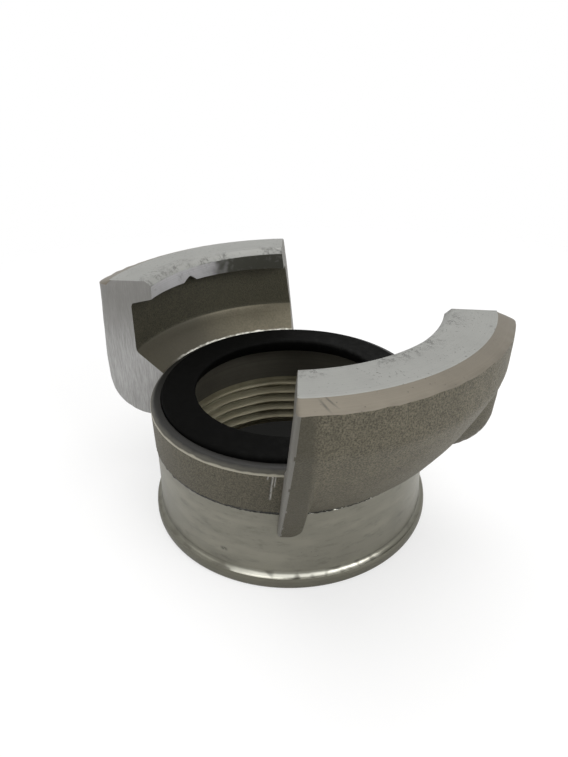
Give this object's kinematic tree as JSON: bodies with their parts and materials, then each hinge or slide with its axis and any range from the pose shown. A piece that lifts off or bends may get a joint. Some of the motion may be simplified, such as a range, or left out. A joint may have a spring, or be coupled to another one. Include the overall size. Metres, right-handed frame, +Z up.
{
  "type": "quarter turn hose coupling half",
  "caption": "Cast aluminium quarter-turn hose coupling half with a female pipe thread, a rubber seal and bayonet lugs.",
  "frame": {"origin": "centre of the bottom face of the threaded end", "axes": "+Z up the bore from the threaded end to the seal, +X through the middle of one bayonet lug"},
  "size_m": [0.076, 0.0552, 0.0428],
  "materials": {
    "aluminium": "cast and turned",
    "rubber": "matt"
  },
  "bodies": {
    "root": {"coupling_body": "aluminium", "gasket": "rubber"}
  },
  "joints": []
}
